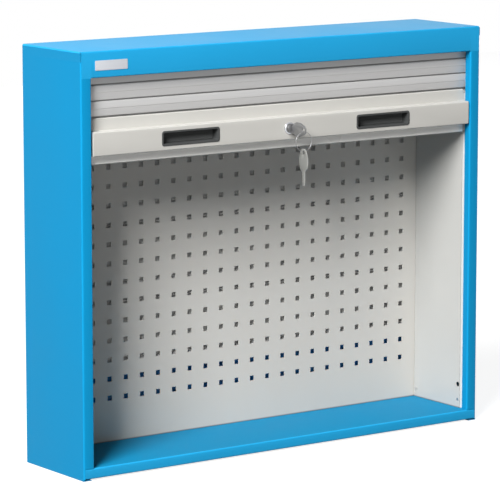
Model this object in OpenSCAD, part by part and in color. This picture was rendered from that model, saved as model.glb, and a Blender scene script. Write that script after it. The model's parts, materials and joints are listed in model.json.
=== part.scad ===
// Wall cabinet for tools with a roll front: folded sheet casing, perforated back,
// a slatted curtain that runs up behind the fascia, over the top and down the back,
// and a locking end rail with two recessed grips. Millimetres, front towards -Y.

/* [Casing] */
// Overall width
casing_w = 955; // [700:1:1300]
// Overall height
casing_h = 812; // [740:1:1100]
// Depth from the front plane to the rear face
casing_d = 205; // [190:1:300]
// Thickness of the casing sheet
sheet_t = 1.2; // [0.8:0.1:1.6]
// Width of the upright front flanges
flange_w = 23.5; // [22.5:0.5:40]
// Depth of the return behind each front flange
reveal_d = 16; // [10:0.5:18]
// Height of the fascia over the opening
fascia_h = 50; // [44:1:70]
// Depth of the return along the fascia's lower edge
fascia_return = 12; // [6:0.5:14]
// Height of the lip under the opening
lip_h = 20; // [12:1:40]
// Distance that the side walls reach below the lip
foot_drop = 3; // [2:0.5:10]
// Width of the flange along each side wall's foot
foot_w = 18; // [8:1:40]
// Height of the relief slit at the fascia's top corners
relief_h = 19; // [8:1:30]
// Width of the relief slit
relief_w = 2.4; // [1:0.2:4]
// Length of the blank plate on the fascia
plate_w = 72; // [40:1:120]
// Height of the blank plate
plate_h = 18.5; // [10:0.5:24]
// Thickness of the blank plate
plate_t = 0.8; // [0.5:0.1:1.5]
// Distance from the casing's side to the blank plate
plate_inset = 31.5; // [26:0.5:120]
// Distance that the plate sits below the fascia's middle
plate_low = 2; // [-4:0.5:4]

/* [Wall fixing] */
// Distance between the wall bolts, across
bolt_span_x = 760; // [400:2:860]
// Height of the lower wall bolts
bolt_low_z = 110; // [60:1:150]
// Distance from the casing's top down to the upper wall bolts
bolt_top_drop = 56; // [52:1:200]
// Diameter of the wall bolt holes
bolt_hole_d = 8.5; // [5:0.5:11]

/* [Interior] */
// Gap between the linings and the outside of the side walls
lining_gap = 22.5; // [21:0.5:23]
// Gap between the perforated sheet and the rear face
back_gap = 28; // [25:0.5:40]
// Distance from the casing's top down to the ceiling sheet
ceiling_drop = 42; // [40.5:0.5:60]
// Depth of the front hem of the ceiling sheet
ceiling_hem = 8; // [4:0.5:12]
// Side of the square perforations
hole_side = 10; // [6:0.5:14]
// Spacing of the perforations
hole_pitch = 38; // [30:1:50]
// Height of the lowest row of perforations over the floor
hole_floor_z = 87; // [40:1:120]
// Least margin at the sides and the top of the perforated field
hole_margin = 30; // [20:1:60]
// Diameter of the small screws that hold the linings
lining_screw_d = 6; // [4:0.5:8]
// Height of the lining screw heads
lining_screw_h = 0.5; // [0.3:0.1:0.8]
// Distance from the floor and the ceiling to the lining screws
lining_screw_inset = 17; // [12:1:30]

/* [Curtain] */
// Pitch of the slats
slat_pitch = 30.2; // [28:0.1:32]
// Depth of the curtain from its front to its back
slat_d = 8; // [7.4:0.1:8.4]
// Thickness of a slat's skin
slat_skin = 1.2; // [0.8:0.1:1.6]
// Height of the groove between two slats
slat_groove = 3.8; // [3:0.1:5]
// Radius of the round bead along a slat's upper edge
bead_r = 1.5; // [1.4:0.05:1.6]
// Clearance around the bead in the hook of the next slat
hook_gap = 0.4; // [0.35:0.05:0.5]
// Wall of the hook
hook_wall = 0.8; // [0.6:0.05:0.9]
// Distance from the front plane to the curtain's front
curtain_set = 17; // [16.8:0.1:18]
// Radius of the curtain's centre line round the corners
bend_r = 32; // [28:0.5:34]
// Distance that the slats reach into the guides
slat_reach = 10; // [6:0.5:10.5]
// Number of stored slats that hang behind the perforated sheet
tail_count = 19; // [8:1:20]
// Diameter of the pins that the tail rests on
stop_d = 6; // [4:0.5:8]

/* [Guides] */
// Wall of the guide channels
guide_t = 1.6; // [1:0.1:1.8]
// Clearance between the curtain and a guide's walls
guide_gap = 0.5; // [0.4:0.05:0.6]
// Inner depth of the guide channels
guide_d = 12; // [11:0.5:12.5]
// Diameter of the spacers that hold the guides to the side walls
spacer_d = 9; // [6:0.5:12]
// Distance from the floor and the ceiling to the end spacers
spacer_inset = 60; // [40:1:120]

/* [End rail] */
// Distance from the fascia's lower edge to the rail's foot, shutter raised
rail_drop = 165; // [150:1:220]
// Height of the flat band over the grip box
rail_band_h = 25.5; // [20:0.5:30]
// Height of the grip box
grip_h = 46; // [40:0.5:60]
// Height of the strip below the grip box
strip_h = 18; // [12:0.5:30]
// Distance that the rail reaches behind the curtain's front
rail_back = 24; // [22:0.5:30]
// Thickness of the rail's sheet
rail_t = 1.5; // [1:0.1:2]
// Gap between each rail end and the lining
rail_end_gap = 5; // [1.2:0.1:6]
// Gap left under the closed rail
rail_floor_gap = 1; // [0.5:0.1:3]
// Height of the returns along the rail's rear edges
rail_return = 12; // [8:0.5:16]
// Diameter of the screws that hold the rail's back cover
rail_screw_d = 7; // [5:0.5:8]
// Height of the rail screw heads
rail_screw_h = 1.8; // [1:0.1:2.5]

/* [Grips] */
// Distance between the centres of the two grips
cup_span = 462; // [300:1:600]
// Length of a grip's rim
cup_w = 133; // [90:1:160]
// Height of a grip's rim
cup_h = 29; // [22:0.5:34]
// Width of the rim around the pocket
cup_rim = 2; // [1:0.1:4]
// Distance that the rim stands proud
cup_proud = 0.8; // [0.4:0.1:1.5]
// Depth of a grip behind the rail's face
cup_depth = 18; // [12:0.5:20]
// Wall of a grip
cup_wall = 1.8; // [1:0.1:2.5]

/* [Lock] */
// Height of the lock over the rail's foot
lock_z = 41; // [36:0.5:46]
// Diameter of the lock's flange
lock_flange_d = 23; // [20:0.5:28]
// Thickness of the lock's flange
lock_flange_t = 3; // [1.5:0.1:4]
// Diameter of the lock barrel
barrel_d = 18.5; // [16:0.5:20]
// Distance that the barrel stands in front of the rail's face
barrel_proud = 11; // [6:0.5:14]
// Distance that the barrel reaches behind the rail's face
barrel_back = 22; // [20:0.5:22]
// Diameter of the turning plug
plug_d = 13; // [12:0.5:14]
// Running clearance of the plug, on the radius
plug_gap = 0.15; // [0.1:0.01:0.3]
// Width of the lock nut across its flats
nut_af = 26; // [24:0.5:30]
// Thickness of the lock nut
nut_t = 4; // [3:0.5:6]
// Radius at which the cam carries its drive pins
cam_pin_r = 9; // [8:0.25:10]
// Diameter of the drive pins
cam_pin_d = 5; // [4:0.5:6]
// Diameter of the lock rods
rod_d = 8; // [6:0.5:8.5]
// Height of each rod over or under the lock's axis
rod_offset = 7; // [6:0.5:8]
// Clearance around a rod in its holes, on the radius
rod_gap = 0.5; // [0.4:0.1:1]
// Diameter of the strike holes in the linings
strike_d = 10; // [9.5:0.5:11]

/* [Keys] */
// Thickness of the keys
key_t = 2; // [1.4:0.1:2.4]
// Length of a key's bow and neck
bow_l = 44; // [34:0.5:50]
// Width of a key's bow
bow_w = 27; // [20:0.5:30]
// Length of a key's blade
blade_l = 28; // [20:0.5:30]
// Width of a key's blade
blade_w = 8; // [6:0.5:8.5]
// Clearance of the key in the plug's slot, on each side
key_gap = 0.35; // [0.3:0.05:0.5]
// Diameter of the hole in a key's bow
bow_hole_d = 8; // [7:0.5:10]
// Mean diameter of the key ring
ring_d = 37.5; // [30:0.5:44]
// Thickness of the ring's wire
ring_wire = 1.5; // [1:0.1:2]

/* [Hidden] */
$fn = 48;
half_w = casing_w / 2;

// Levels of the casing, and the opening that they leave
lip_z = foot_drop;
floor_z = lip_z + lip_h;
fascia_z = casing_h - fascia_h;
flange_x = half_w - flange_w;
lining_x = half_w - lining_gap;
back_y = casing_d - back_gap;
ceiling_z = casing_h - ceiling_drop;
wall_x = half_w - sheet_t;
tray_return = 14;

// Gap between sheets that lie against each other, and between inner sheets and the side walls
face_gap = 0.2;
edge_gap = 2;

// How far a cutter runs past the face that it leaves by
past = 1;

// The curtain's route: up the front, over the top and down the back
front_y = curtain_set + slat_d / 2;
guide_half = slat_d / 2 + guide_gap;
rear_y = back_y + sheet_t + face_gap + guide_t + guide_half;
roof_gap = 0.6;
roof_z = casing_h - sheet_t - roof_gap - guide_t - guide_half;
bend_z = roof_z - bend_r;
bend_len = bend_r * PI / 2;
front_bend_y = front_y + bend_r;
rear_bend_y = rear_y - bend_r;
roof_len = rear_bend_y - front_bend_y;
slat_half = lining_x + slat_reach;
guide_x = lining_x + guide_d;
guide_in = lining_x + sheet_t + face_gap;
guide_split_z = ceiling_z - 6;

// A slat's edges: how far the skin's edges stand back, the hook's radii, and the bead's neck
low_set = 1;
high_set = 0.45;
hook_r = bead_r + hook_gap;
hook_out = hook_r + hook_wall;
neck_t = 1;
neck_tuck = 1.8;
bite = 0.2;

// Levels of the raised end rail
rail_z = fascia_z - rail_drop;
grip_z = rail_z + strip_h;
band_z = grip_z + grip_h;
hinge_z = band_z + rail_band_h;
travel = rail_z - floor_z - rail_floor_gap;
rail_rear_y = curtain_set + rail_back;
rail_half = lining_x - rail_end_gap;
rail_top_z = hinge_z - slat_groove / 2;
rail_shoulder = 3;
rail_web_z = rail_top_z - rail_shoulder;
lock_level = rail_z + lock_z;

// The lock's parts behind the rail's face
cutout_gap = 0.2;
rod_set = 9.5;
rod_y = rail_rear_y - rod_set;
rod_plate_t = 3;
rod_plate_rim = 2;
cam_t = 2.5;
cam_y = barrel_back + 1;
pin_end_y = rod_y + rod_plate_t / 2 + 1.5;
pin_x = cam_pin_r / sqrt(2);
rod_tip = rail_half - 1.3;
slot_w = cam_pin_d + 1;
tail_square = 7;

// The keys hang from the bow hole of the one in the lock
key_y = -barrel_proud - 0.3;
hole_u = bow_l - bow_hole_d / 2 - 3.5;
hang_y = key_y - hole_u;
hang_drop = bow_hole_d / 2 - ring_wire / 2 - 0.3;
hang_z = lock_level - hang_drop;
ring_low_z = hang_z - ring_d;
spare_hole_z = ring_low_z - hang_drop;
key_reach = max(-key_y + bow_l, -hang_y + bow_w / 2);
front_shift = (key_reach - casing_d) / 2;

// Perforated field
columns = floor((2 * lining_x - 2 * hole_margin - hole_side) / hole_pitch) + 1;
hole_low_z = floor_z + hole_floor_z;
rows = floor((ceiling_z - hole_margin - hole_side / 2 - hole_low_z) / hole_pitch) + 1;

casing_blue = [0.09, 0.56, 0.82];
lining_grey = [0.80, 0.79, 0.77];
slat_silver = [0.80, 0.80, 0.81];
rail_grey = [0.77, 0.76, 0.74];
guide_white = [0.90, 0.91, 0.91];
steel = [0.66, 0.66, 0.67];
chrome = [0.82, 0.83, 0.85];
grip_black = [0.09, 0.09, 0.10];

// Puts the assembly over the middle of its own footprint
module seat() translate([0, front_shift, 0]) children();

// A box from its low corner to its high corner
module block(low, high) translate(low) cube(high - low);

// A profile drawn in Y and Z, drawn out along X from x1 to x2
module along_x(x1, x2)
  translate([x1, 0, 0]) rotate([90, 0, 90]) linear_extrude(x2 - x1) children();

// A round bar along X or Y
module bar_x(x1, x2, y, z, d) translate([x1, y, z]) rotate([0, 90, 0]) cylinder(h = x2 - x1, d = d);
module bar_y(x, y1, y2, z, d) translate([x, y1, z]) rotate([-90, 0, 0]) cylinder(h = y2 - y1, d = d);

// A rectangle between two corners of a profile
module rect(low, high) translate(low) square(high - low);

module mirrored_left() mirror([1, 0, 0]) children();

// Casing

module side_wall() {
  color(casing_blue) seat() {
    block([wall_x, sheet_t, 0], [half_w, casing_d, casing_h - sheet_t]);
    block([flange_x, 0, floor_z], [half_w, sheet_t, fascia_z]);
    block([flange_x, 0, floor_z], [flange_x + sheet_t, reveal_d, fascia_z]);
    block([wall_x - foot_w, sheet_t + face_gap, 0], [half_w, casing_d, sheet_t]);
  }
}

module left_side_wall() mirrored_left() side_wall();

module right_side_wall() side_wall();

module top_panel() {
  color(casing_blue) seat() difference() {
    union() {
      block([-half_w, 0, casing_h - sheet_t], [half_w, casing_d, casing_h]);
      block([-half_w, 0, fascia_z], [half_w, sheet_t, casing_h]);
      block([-flange_x, 0, fascia_z], [flange_x, fascia_return, fascia_z + sheet_t]);
    }
    for (x = [-half_w, half_w])
      block([x - relief_w, -past, casing_h - relief_h], [x + relief_w, sheet_t, casing_h - sheet_t]);
  }
}

module bottom_panel() {
  color(casing_blue) seat() {
    block([-wall_x, sheet_t, floor_z - sheet_t], [wall_x, casing_d - sheet_t, floor_z]);
    block([-half_w, 0, lip_z], [half_w, sheet_t, floor_z]);
    block([-wall_x, 0, lip_z], [wall_x, tray_return, lip_z + sheet_t]);
    block([-wall_x, casing_d - 2 * sheet_t, lip_z], [wall_x, casing_d - sheet_t, floor_z]);
  }
}

module rear_wall() {
  color(casing_blue) seat() difference() {
    block([-wall_x, casing_d - sheet_t, lip_z], [wall_x, casing_d, casing_h - sheet_t]);
    for (x = [-bolt_span_x / 2, bolt_span_x / 2], z = [bolt_low_z, casing_h - bolt_top_drop])
      bar_y(x, casing_d - 3 * sheet_t, casing_d + sheet_t, z, bolt_hole_d);
  }
}

module name_plate() {
  plate_x = plate_inset - half_w;
  plate_z = fascia_z + (fascia_h - plate_h) / 2 - plate_low;
  color(chrome) seat() block([plate_x, -plate_t, plate_z], [plate_x + plate_w, 0, plate_z + plate_h]);
}

// Interior

module perforated_back_panel() {
  edge_x = wall_x - edge_gap;
  color(lining_grey) seat() translate([0, back_y + sheet_t, 0]) rotate([90, 0, 0])
    linear_extrude(sheet_t) difference() {
      rect([-edge_x, floor_z + face_gap], [edge_x, ceiling_z]);
      for (c = [0 : columns - 1], r = [0 : rows - 1])
        translate([(c - (columns - 1) / 2) * hole_pitch, hole_low_z + r * hole_pitch])
          square(hole_side, center = true);
    }
}

module lining_panel(rod_side) {
  front = curtain_set + slat_d + guide_gap;
  inner = lining_x + sheet_t;
  foot_start = front + 14;
  color(lining_grey) seat() difference() {
    union() {
      block([lining_x, front, floor_z + face_gap], [inner, back_y - face_gap, ceiling_z]);
      block([lining_x, back_y - face_gap - sheet_t, floor_z + face_gap],
            [wall_x - edge_gap, back_y - face_gap, ceiling_z]);
      block([lining_x, foot_start, floor_z + face_gap],
            [wall_x - edge_gap, back_y - face_gap, floor_z + face_gap + sheet_t]);
    }
    for (drop = [0, travel])
      bar_x(lining_x - past, inner + past, rod_y, lock_level + rod_side * rod_offset - drop, strike_d);
  }
}

module left_lining_panel() mirrored_left() lining_panel(-1);

module right_lining_panel() lining_panel(1);

module ceiling_panel() {
  front = curtain_set + slat_d + edge_gap;
  hem_x = lining_x - 1;
  color(lining_grey) seat() {
    block([-lining_x, front, ceiling_z], [lining_x, back_y + sheet_t, ceiling_z + sheet_t]);
    block([-hem_x, front, ceiling_z - ceiling_hem], [hem_x, front + sheet_t, ceiling_z]);
  }
}

module lining_screws() {
  levels = [floor_z + lining_screw_inset, ceiling_z - lining_screw_inset];
  color(steel) seat() for (side = [0, 1], y = [rod_y, back_y - lining_screw_inset / 2], z = levels)
    mirror([side, 0, 0]) bar_x(lining_x - lining_screw_h, lining_x, y, z, lining_screw_d);
}

// Guides

module channel(y, z1, z2, web_x) {
  color(guide_white) seat() {
    block([guide_x, y - guide_half - guide_t, z1], [guide_x + guide_t, y + guide_half + guide_t, z2]);
    block([web_x, y - guide_half - guide_t, z1], [guide_x, y - guide_half, z2]);
    block([guide_in, y + guide_half, z1], [guide_x, y + guide_half + guide_t, z2]);
  }
}

module front_guide()
  channel(front_y, floor_z + face_gap, guide_split_z, flange_x + sheet_t + face_gap);

module rear_guide() channel(rear_y, floor_z + face_gap, guide_split_z, guide_in);

// The outline of the turn over the top, r from the centres of its bends, as a profile in Y and Z
module roof_outline(r) {
  intersection() {
    translate([front_bend_y, bend_z]) circle(r, $fn = 96);
    rect([front_bend_y - r, bend_z], [front_bend_y, bend_z + r]);
  }
  intersection() {
    translate([rear_bend_y, bend_z]) circle(r, $fn = 96);
    rect([rear_bend_y, bend_z], [rear_bend_y + r, bend_z + r]);
  }
  rect([front_bend_y, bend_z], [rear_bend_y, bend_z + r]);
  rect([front_bend_y - r, guide_split_z + face_gap], [rear_bend_y + r, bend_z]);
}

module top_guide() {
  inner_r = bend_r + guide_half;
  outer_r = inner_r + guide_t;
  shelf_z = roof_z - guide_half;
  shelf_inset = bend_r / 2;
  color(guide_white) seat() {
    along_x(guide_x, guide_x + guide_t) difference() {
      roof_outline(outer_r);
      roof_outline(bend_r - guide_half - guide_t);
    }
    along_x(guide_in, guide_x) difference() {
      roof_outline(outer_r);
      roof_outline(inner_r);
      rect([front_bend_y - inner_r, guide_split_z - past], [rear_bend_y + inner_r, bend_z]);
    }
    block([guide_in, front_bend_y + shelf_inset, shelf_z - guide_t],
          [guide_x, rear_bend_y - shelf_inset, shelf_z]);
  }
}

module left_front_guide() mirrored_left() front_guide();

module right_front_guide() front_guide();

module left_top_guide() mirrored_left() top_guide();

module right_top_guide() top_guide();

module left_rear_guide() mirrored_left() rear_guide();

module right_rear_guide() rear_guide();

module guide_spacers() {
  low_z = floor_z + spacer_inset;
  levels = [for (k = [0 : 3]) low_z + k * (ceiling_z - spacer_inset - low_z) / 3];
  color(steel) seat() for (side = [0, 1]) mirror([side, 0, 0]) {
    for (y = [front_y, rear_y], z = levels) bar_x(guide_x + guide_t, wall_x, y, z, spacer_d);
    for (y = [front_bend_y, rear_bend_y]) bar_x(guide_x + guide_t, wall_x, y, roof_z, spacer_d);
  }
}

// Curtain. A slat's own profile has its hooked edge at the origin and its bead at [0, pitch];
// the front of the slat faces -X of the profile. The hook is open downwards and to the back,
// so that a slat can lean back on the one below it as the curtain goes round a corner.

module skin_outline() {
  face = -slat_d / 2;
  low = slat_groove / 2;
  high = slat_pitch - slat_groove / 2;
  ridge = slat_pitch / 2;
  polygon([[face + low_set, low], [face, ridge], [face + high_set, high],
           [face + high_set + slat_skin, high], [face + slat_skin, ridge],
           [face + low_set + slat_skin, low]]);
}

module hook_outline() {
  mouth = 2 * hook_out;
  difference() {
    circle(hook_out, $fn = 40);
    circle(hook_r, $fn = 40);
    polygon([[0, 0], [-mouth / 2, -mouth], [mouth, -mouth], [mouth, -0.3 * mouth]]);
  }
}

module slat_profile_at(x1, x2) {
  neck_low = slat_pitch - hook_out - neck_tuck;
  face = -slat_d / 2;
  web_end = -0.75 * hook_r;
  along_x(x1, x2) skin_outline();
  along_x(x1, x2) hook_outline();
  along_x(x1, x2) rect([face + low_set + bite, slat_groove / 2 + bite], [web_end, hook_out - bite]);
  along_x(x1, x2) translate([0, slat_pitch]) circle(bead_r, $fn = 32);
  along_x(x1, x2) rect([-neck_t / 2, neck_low - slat_skin], [neck_t / 2, slat_pitch]);
  along_x(x1, x2) rect([face + slat_skin / 2, neck_low - slat_skin + bite], [bite, neck_low]);
}

// One slat whose hooked edge is at (y, z), leaning back by lean degrees
module slat_at(y, z, lean)
  color(slat_silver) seat() translate([0, y, z]) rotate([-lean, 0, 0])
    slat_profile_at(-slat_half, slat_half);

// A point of the curtain's centre line, s along it from the foot of the front bend
function route(s) =
  s < 0 ? [front_y, bend_z + s] :
  s < bend_len ? [front_bend_y - bend_r * cos(s / bend_r * 180 / PI),
                  bend_z + bend_r * sin(s / bend_r * 180 / PI)] :
  s < bend_len + roof_len ? [front_bend_y + s - bend_len, roof_z] :
  s < 2 * bend_len + roof_len ? [rear_bend_y + bend_r * sin((s - bend_len - roof_len) / bend_r * 180 / PI),
                                 bend_z + bend_r * cos((s - bend_len - roof_len) / bend_r * 180 / PI)] :
  [rear_y, bend_z - (s - 2 * bend_len - roof_len)];

// Where along the route a hinge lies exactly one pitch from the point p, by halving
function next_hinge(p, low, high, n = 26) =
  n == 0 ? (low + high) / 2 :
  norm(route((low + high) / 2) - p) < slat_pitch
    ? next_hinge(p, (low + high) / 2, high, n - 1)
    : next_hinge(p, low, (low + high) / 2, n - 1);

// Hinge number k of the stored curtain: 0 is the upper edge of slat_03
function hinge_s(k) =
  k == 0 ? hinge_z + 3 * slat_pitch - bend_z :
  next_hinge(hinge(k - 1), hinge_s(k - 1), hinge_s(k - 1) + 1.2 * slat_pitch);
function hinge(k) = k == 0 ? [front_y, hinge_z + 3 * slat_pitch] : route(hinge_s(k));

module hanging_slat(k) slat_at(front_y, hinge_z + (k - 1) * slat_pitch, 0);

module stored_slat(k) {
  low = hinge(k - 4);
  high = hinge(k - 3);
  slat_at(low[0], low[1], atan2(high[0] - low[0], high[1] - low[1]));
}

tail_start = hinge(7);
tail_end_z = tail_start[1] - tail_count * slat_pitch;

module tail_slats()
  for (k = [0 : tail_count - 1]) slat_at(tail_start[0], tail_start[1] - k * slat_pitch, 180);

module tail_stops() {
  rest_gap = 0.6;
  color(steel) seat() for (side = [0, 1]) mirror([side, 0, 0])
    bar_x(lining_x + edge_gap, guide_x, rear_y, tail_end_z - bead_r - rest_gap - stop_d / 2, stop_d);
}

// End rail: one folded sheet profile, closed by a cover behind and a cap at each end

module rail_profile() {
  y = curtain_set;
  rear = rail_rear_y - sheet_t;
  rect([y, band_z - rail_t], [y + rail_t, rail_top_z]);
  rect([0, band_z - rail_t], [y + rail_t, band_z]);
  rect([0, grip_z], [rail_t, band_z]);
  rect([0, grip_z], [y + rail_t, grip_z + rail_t]);
  rect([y, rail_z], [y + rail_t, grip_z + rail_t]);
  rect([y, rail_z], [rear, rail_z + rail_t]);
  rect([rear - rail_t, rail_z], [rear, rail_z + rail_return]);
  rect([y, rail_web_z - rail_t], [rear, rail_web_z]);
  rect([rear - rail_t, rail_web_z - rail_return], [rear, rail_web_z]);
  rect([front_y - neck_t / 2, rail_web_z - rail_t], [front_y + neck_t / 2, hinge_z]);
  translate([front_y, hinge_z]) circle(bead_r, $fn = 32);
}

module end_rail() {
  cut_x = cup_w / 2 - cup_rim + cutout_gap;
  cut_z = cup_h / 2 - cup_rim + cutout_gap;
  color(rail_grey) seat() difference() {
    along_x(-rail_half + rail_t, rail_half - rail_t) rail_profile();
    bar_y(0, -past, rail_t + past, lock_level, barrel_d + 2 * cutout_gap);
    for (x = [-cup_span / 2, cup_span / 2])
      block([x - cut_x, -past, lock_level - cut_z], [x + cut_x, rail_t + past, lock_level + cut_z]);
  }
}

module rail_back_cover() {
  color(rail_grey) seat()
    block([-rail_half + rail_t, rail_rear_y - sheet_t, rail_z + rail_t],
          [rail_half - rail_t, rail_rear_y, rail_web_z]);
}

module rail_cap(rod_side) {
  cap_x = rail_half - rail_t;
  tongue_gap = 0.3;
  tongue_inset = 5;
  color(rail_grey) seat() difference() {
    union() {
      block([cap_x, curtain_set, rail_z], [rail_half, rail_rear_y, rail_web_z]);
      block([cap_x, 0, grip_z], [rail_half, curtain_set, band_z]);
      block([cap_x, curtain_set + tongue_gap, rail_z + tongue_inset],
            [slat_half, curtain_set + slat_d - tongue_gap, rail_web_z - tongue_inset]);
    }
    bar_x(cap_x - past, rail_half + past, rod_y, lock_level + rod_side * rod_offset, rod_d + 2 * rod_gap);
  }
}

module left_rail_cap() mirrored_left() rail_cap(-1);

module right_rail_cap() rail_cap(1);

module grip_cup(x) {
  body = [cup_w / 2 - cup_rim, cup_h / 2 - cup_rim];
  hollow = [body[0] - cup_wall, body[1] - cup_wall];
  color(grip_black) seat() translate([x, 0, lock_level]) difference() {
    union() {
      block([-cup_w / 2, -cup_proud, -cup_h / 2], [cup_w / 2, 0, cup_h / 2]);
      block([-body[0], -cup_proud, -body[1]], [body[0], cup_depth, body[1]]);
    }
    block([-hollow[0], -cup_proud - past, -hollow[1]], [hollow[0], cup_depth - cup_wall, hollow[1]]);
  }
}

module left_grip_cup() grip_cup(-cup_span / 2);

module right_grip_cup() grip_cup(cup_span / 2);

module rail_screws() {
  end_x = rail_half - 32;
  color(steel) seat() for (k = [-2 : 2], z = [rail_z + rail_screw_d, rail_web_z - rail_screw_d])
    bar_y(k * end_x / 2, rail_rear_y, rail_rear_y + rail_screw_h, z, rail_screw_d);
}

// Lock

module lock_barrel() {
  color(chrome) seat() translate([0, 0, lock_level]) difference() {
    union() {
      bar_y(0, -lock_flange_t, 0, 0, lock_flange_d);
      bar_y(0, -barrel_proud, barrel_back, 0, barrel_d);
    }
    bar_y(0, -barrel_proud - past, barrel_back + past, 0, plug_d + 2 * plug_gap);
  }
}

module lock_nut() {
  thread_gap = 0.05;
  color(steel) seat() translate([0, rail_t + face_gap, lock_level]) rotate([-90, 0, 0]) difference() {
    cylinder(h = nut_t, d = nut_af / cos(30), $fn = 6);
    translate([0, 0, -past]) cylinder(h = nut_t + 2 * past, d = barrel_d + 2 * thread_gap);
  }
}

module lock_plug() {
  slot_back = blade_l - barrel_proud + 1;
  slot_x = key_t / 2 + key_gap;
  slot_z = blade_w / 2 + key_gap;
  tail = tail_square / 2;
  color(steel) seat() translate([0, 0, lock_level]) difference() {
    union() {
      bar_y(0, -barrel_proud + face_gap, cam_y, 0, plug_d);
      block([-tail, cam_y - past, -tail], [tail, cam_y + cam_t + past / 2, tail]);
    }
    block([-slot_x, -barrel_proud - past, -slot_z], [slot_x, slot_back, slot_z]);
  }
}

module lock_cam() {
  cam_rim = 1;
  tail = tail_square / 2;
  color(steel) seat() translate([0, 0, lock_level]) difference() {
    union() {
      bar_y(0, cam_y, cam_y + cam_t, 0, 2 * (cam_pin_r + cam_rim) + cam_pin_d);
      for (s = [-1, 1]) bar_y(-s * pin_x, cam_y, pin_end_y, s * pin_x, cam_pin_d);
    }
    block([-tail, cam_y - past, -tail], [tail, cam_y + cam_t + past, tail]);
  }
}

// The rod that a cam pin pushes to the right, its slotted plate round the upper pin
module lock_rod() {
  rim = rod_plate_rim;
  slot_low = pin_x - cam_pin_d / 2 - 1;
  slot_high = cam_pin_r + cam_pin_d / 2 + 1;
  plate_end = pin_x + rod_d;
  color(steel) seat() translate([0, 0, lock_level]) {
    difference() {
      block([-pin_x - slot_w / 2 - rim, rod_y - rod_plate_t / 2, slot_low - rim],
            [plate_end, rod_y + rod_plate_t / 2, slot_high + rim]);
      block([-pin_x - slot_w / 2, rod_y - rod_plate_t, slot_low],
            [-pin_x + slot_w / 2, rod_y + rod_plate_t, slot_high]);
    }
    bar_x(plate_end - rod_d / 4, rod_tip, rod_y, rod_offset, rod_d);
  }
}

module right_lock_rod() lock_rod();

// The left rod hangs on the lower pin: the right one turned half round the lock's axis
module left_lock_rod()
  translate([0, 0, lock_level]) rotate([0, 180, 0]) translate([0, 0, -lock_level]) lock_rod();

module rod_guide(rod_side) {
  inner_x = 60;
  outer_x = rail_half - 22;
  half_l = 8;
  half_h = rod_d / 2 + 3;
  front = rod_y - rod_d / 2 - 1.6;
  color(steel) seat() translate([0, 0, lock_level + rod_side * rod_offset]) difference() {
    for (x = [inner_x, outer_x])
      block([x - half_l, front, -half_h], [x + half_l, rail_rear_y - sheet_t, half_h]);
    bar_x(0, rail_half, rod_y, 0, rod_d + 2 * rod_gap);
  }
}

module left_rod_guide() mirrored_left() rod_guide(-1);

module right_rod_guide() rod_guide(1);

// Keys. The outline runs along X from the blade's tip, behind the origin, to the bow.

module key_outline() {
  half = bow_w / 2;
  b = blade_w / 2;
  difference() {
    polygon([[-blade_l, -b + 1.6], [-blade_l + 2, -b], [0, -b], [0, -b - 1.5], [2, -b - 1.5],
             [6, -half + 2.5], [13, -half], [bow_l - 18, -half], [bow_l - 4, -half + 5.5],
             [bow_l, -half + 9.5], [bow_l, half - 9.5], [bow_l - 4, half - 5.5], [bow_l - 18, half],
             [13, half], [6, half - 2.5], [2, b + 1.5], [0, b + 1.5], [0, b],
             [-4, b], [-6, b - 1.6], [-8, b], [-10, b], [-12.5, b - 2.4], [-15, b - 0.4],
             [-17.5, b - 2], [-20, b], [-22, b - 1.2], [-blade_l + 2, b], [-blade_l, b - 1.6]]);
    translate([hole_u, 0]) circle(d = bow_hole_d);
  }
}

module key() {
  color(steel) seat() translate([key_t / 2, key_y, lock_level]) rotate([0, 0, -90]) rotate([90, 0, 0])
    linear_extrude(key_t) key_outline();
}

module key_ring() {
  color(chrome) seat() translate([0, hang_y, hang_z - ring_d / 2]) rotate([90, 0, 0])
    rotate_extrude($fn = 72) translate([ring_d / 2, 0]) circle(d = ring_wire, $fn = 16);
}

module spare_key() {
  color(steel) seat() translate([-key_t / 2, hang_y, spare_hole_z])
    rotate([90, 0, 90]) rotate([0, 0, 90]) translate([-hole_u, 0, 0])
      linear_extrude(key_t) key_outline();
}

left_side_wall();
right_side_wall();
top_panel();
bottom_panel();
rear_wall();
perforated_back_panel();
left_lining_panel();
right_lining_panel();
ceiling_panel();
left_front_guide();
right_front_guide();
left_top_guide();
right_top_guide();
left_rear_guide();
right_rear_guide();
guide_spacers();
lining_screws();
tail_stops();
name_plate();
end_rail();
rail_back_cover();
left_rail_cap();
right_rail_cap();
left_grip_cup();
right_grip_cup();
rail_screws();
left_rod_guide();
right_rod_guide();
lock_barrel();
lock_nut();
lock_plug();
lock_cam();
left_lock_rod();
right_lock_rod();
key();
key_ring();
spare_key();
hanging_slat(1);  // slat_01
hanging_slat(2);  // slat_02
hanging_slat(3);  // slat_03
stored_slat(4);  // slat_04
stored_slat(5);  // slat_05
stored_slat(6);  // slat_06
stored_slat(7);  // slat_07
stored_slat(8);  // slat_08
stored_slat(9);  // slat_09
stored_slat(10);  // slat_10
tail_slats();
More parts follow.
